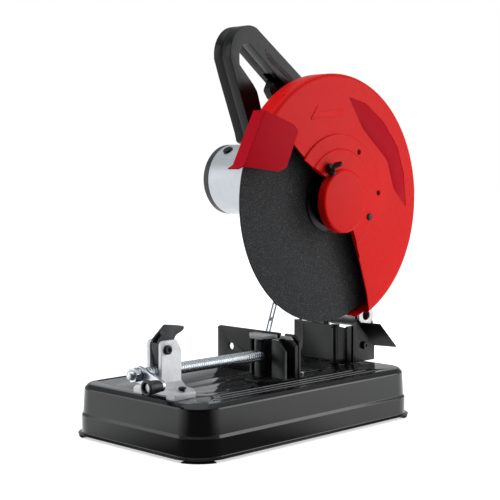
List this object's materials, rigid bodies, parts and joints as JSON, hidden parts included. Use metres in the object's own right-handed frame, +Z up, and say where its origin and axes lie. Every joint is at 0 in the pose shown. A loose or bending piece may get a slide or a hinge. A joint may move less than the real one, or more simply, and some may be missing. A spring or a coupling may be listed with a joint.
{
  "type": "abrasive chop saw",
  "caption": "Bench abrasive chop saw: pressed steel base with quick-release vise and fence, sprung swing head with geared motor, red wheel guard and closed D-handle.",
  "frame": {"origin": "on the bench plane under the middle of the machine's bounding box, at the underside of the rubber feet", "axes": "+Z up, +Y from the vise crank at the front to the pivot at the back, +X from the motor side to the wheel side"},
  "size_m": [0.3364, 0.5526, 0.5713],
  "materials": {
    "black_paint": "gloss black powder coat on pressed steel",
    "rubber": "matt black moulded rubber",
    "matt_black_steel": "satin black coated steel, worn on the edges",
    "bright_zinc": "bright zinc plate",
    "cast_alloy": "sand-cast aluminium, light grey",
    "motor_alloy": "silver-painted aluminium, satin",
    "dark_steel": "black oxide steel",
    "grey_plastic": "dark grey moulded plastic",
    "brushed_steel": "ground steel",
    "black_plastic": "satin black moulded nylon",
    "copper_windings": "varnished copper windings on a steel stack",
    "abrasive": "resin-bonded abrasive, dark grey with fine grain",
    "red_paint": "bright orange-red powder coat",
    "soft_grip": "dark grey soft moulding with fine dots"
  },
  "bodies": {
    "base": {"base_pan": "black_paint", "foot_front_left": "rubber", "foot_front_right": "rubber", "foot_rear_left": "rubber", "foot_rear_right": "rubber", "fence_left": "matt_black_steel", "fence_right": "matt_black_steel", "fence_bolt_left": "bright_zinc", "fence_bolt_right": "bright_zinc", "vise_bracket": "cast_alloy", "bracket_bolt_left": "dark_steel", "bracket_bolt_right": "dark_steel", "lever_pin": "dark_steel", "rear_pedestal": "matt_black_steel", "pedestal_bolt_left": "bright_zinc", "pedestal_bolt_right": "bright_zinc", "spark_plate": "matt_black_steel", "spark_plate_bolt": "dark_steel", "depth_stop_bolt": "dark_steel", "pivot_shaft": "brushed_steel", "pivot_nut": "bright_zinc", "return_spring": "dark_steel", "chain_anchor": "bright_zinc", "lock_chain": "bright_zinc"},
    "head": {"swing_arm": "cast_alloy", "gear_housing": "cast_alloy", "bearing_cover": "cast_alloy", "motor_housing": "motor_alloy", "end_cap": "grey_plastic", "brush_cap_upper": "black_plastic", "brush_cap_lower": "black_plastic", "stator": "copper_windings", "wheel_guard": "red_paint", "centre_cover": "red_paint", "wing_bolt": "dark_steel", "cover_screw": "bright_zinc", "spark_deflector": "red_paint", "handle_shell_left": "black_plastic", "handle_shell_right": "black_plastic", "grip_panel": "soft_grip", "switch_box": "grey_plastic", "cord_gland": "rubber"},
    "spindle_group": {"spindle": "brushed_steel", "driven_gear": "brushed_steel", "inner_flange": "dark_steel", "abrasive_wheel": "abrasive", "outer_flange": "dark_steel", "wheel_bolt": "bright_zinc"},
    "rotor": {"armature": "brushed_steel", "cooling_fan": "grey_plastic"},
    "trigger_key": {"trigger": "black_plastic"},
    "lock_off": {"lock_button": "red_paint"},
    "jaw_block": {"jaw": "matt_black_steel"},
    "screw_group": {"vise_screw": "bright_zinc", "crank_arm": "bright_zinc", "crank_nut": "bright_zinc", "knob_stud": "brushed_steel"},
    "knob": {"crank_knob": "grey_plastic"},
    "lever": {"release_lever": "grey_plastic"}
  },
  "joints": [
    {"name": "head_pivot", "type": "hinge", "parent": "base", "child": "head", "pos_m": [0.0318, 0.19354, 0.1443], "axis": [1, 0, 0], "range_deg": [0, 30.5], "stiffness_Nm_per_rad": 18, "springref_deg": -42.97, "deforming": ["lock_chain"]},
    {"name": "spindle_spin", "type": "hinge", "parent": "head", "child": "spindle_group", "pos_m": [0.0318, 0.09324, 0.3216], "axis": [1, 0, 0], "continuous": true},
    {"name": "rotor_spin", "type": "hinge", "parent": "head", "child": "rotor", "pos_m": [0.0318, 0.13254, 0.3503], "axis": [1, 0, 0], "continuous": true},
    {"name": "trigger_pull", "type": "hinge", "parent": "head", "child": "trigger_key", "pos_m": [0.0098, 0.09854, 0.4743], "axis": [-1, 0, 0], "range_deg": [0, 6.5], "stiffness_Nm_per_rad": 0.9, "springref_deg": -8.59},
    {"name": "lock_button_press", "type": "slide", "parent": "head", "child": "lock_off", "axis": [1, 0, 0], "range_m": [0, 0.003], "stiffness_N_per_m": 300, "springref_m": -0.002},
    {"name": "jaw_slide", "type": "slide", "parent": "base", "child": "jaw_block", "axis": [0, -1, 0], "range_m": [0, 0.105]},
    {"name": "screw_turn", "type": "hinge", "parent": "jaw_block", "child": "screw_group", "pos_m": [0.0658, -0.01746, 0.1059], "axis": [0, -1, 0], "range_deg": [0, 9451]},
    {"name": "knob_spin", "type": "hinge", "parent": "screw_group", "child": "knob", "pos_m": [0.1068, -0.26246, 0.0963], "axis": [0, 1, 0], "continuous": true},
    {"name": "lever_lift", "type": "hinge", "parent": "base", "child": "lever", "pos_m": [0.0658, -0.21646, 0.1353], "axis": [1, 0, 0], "range_deg": [0, 60]}
  ],
  "couplings": [
    {"joint": "rotor_spin", "follows": "spindle_spin", "ratio": -4},
    {"joint": "screw_turn", "follows": "jaw_slide", "rad_per_m": 1570.8}
  ]
}
